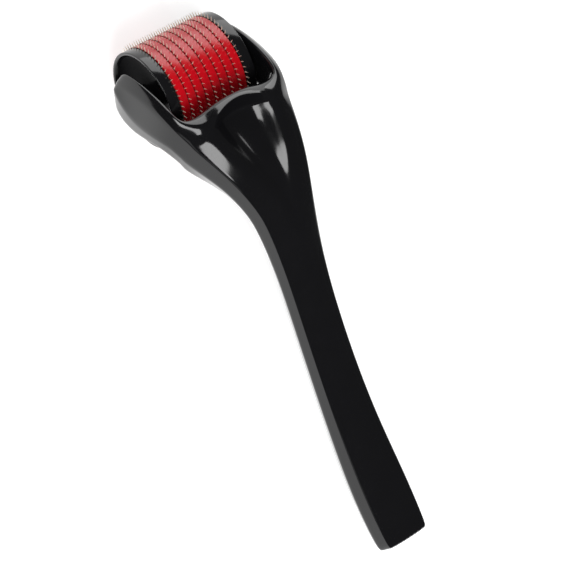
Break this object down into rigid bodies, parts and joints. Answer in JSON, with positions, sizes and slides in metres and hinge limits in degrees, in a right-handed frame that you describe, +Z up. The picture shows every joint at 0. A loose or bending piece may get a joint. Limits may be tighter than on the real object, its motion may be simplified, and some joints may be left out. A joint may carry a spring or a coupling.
{
  "type": "derma roller",
  "caption": "Hand-held skin roller: a bent one-piece forked handle with a thumb scoop carries a freely turning drum of fine needle discs and red spacer rings.",
  "frame": {"origin": "centre of the bounding box on the surface the roller lies on", "axes": "+X along the drum's axle, +Y from the tail of the handle towards the drum, +Z up"},
  "size_m": [0.0372, 0.1388, 0.036],
  "materials": {
    "handle_black": "high gloss moulded",
    "cap_black": "high gloss moulded",
    "spacer_red": "glossy, lightly translucent",
    "core_red": "gloss",
    "needle_steel": "stamped and polished",
    "axle_steel": "ground"
  },
  "bodies": {
    "handle": {"handle": "handle_black", "axle_pin": "axle_steel"},
    "drum": {"left_end_cap": "cap_black", "right_end_cap": "cap_black", "drum_core": "core_red", "needle_disc_1": "needle_steel", "needle_disc_2": "needle_steel", "needle_disc_3": "needle_steel", "needle_disc_4": "needle_steel", "needle_disc_5": "needle_steel", "needle_disc_6": "needle_steel", "needle_disc_7": "needle_steel", "needle_disc_8": "needle_steel", "needle_disc_9": "needle_steel", "spacer_ring_1": "spacer_red", "spacer_ring_2": "spacer_red", "spacer_ring_3": "spacer_red", "spacer_ring_4": "spacer_red", "spacer_ring_5": "spacer_red", "spacer_ring_6": "spacer_red", "spacer_ring_7": "spacer_red", "spacer_ring_8": "spacer_red"}
  },
  "joints": [
    {"name": "drum_spin", "type": "hinge", "parent": "handle", "child": "drum", "pos_m": [0, 0.0556, 0.0138], "axis": [1, 0, 0], "continuous": true}
  ]
}
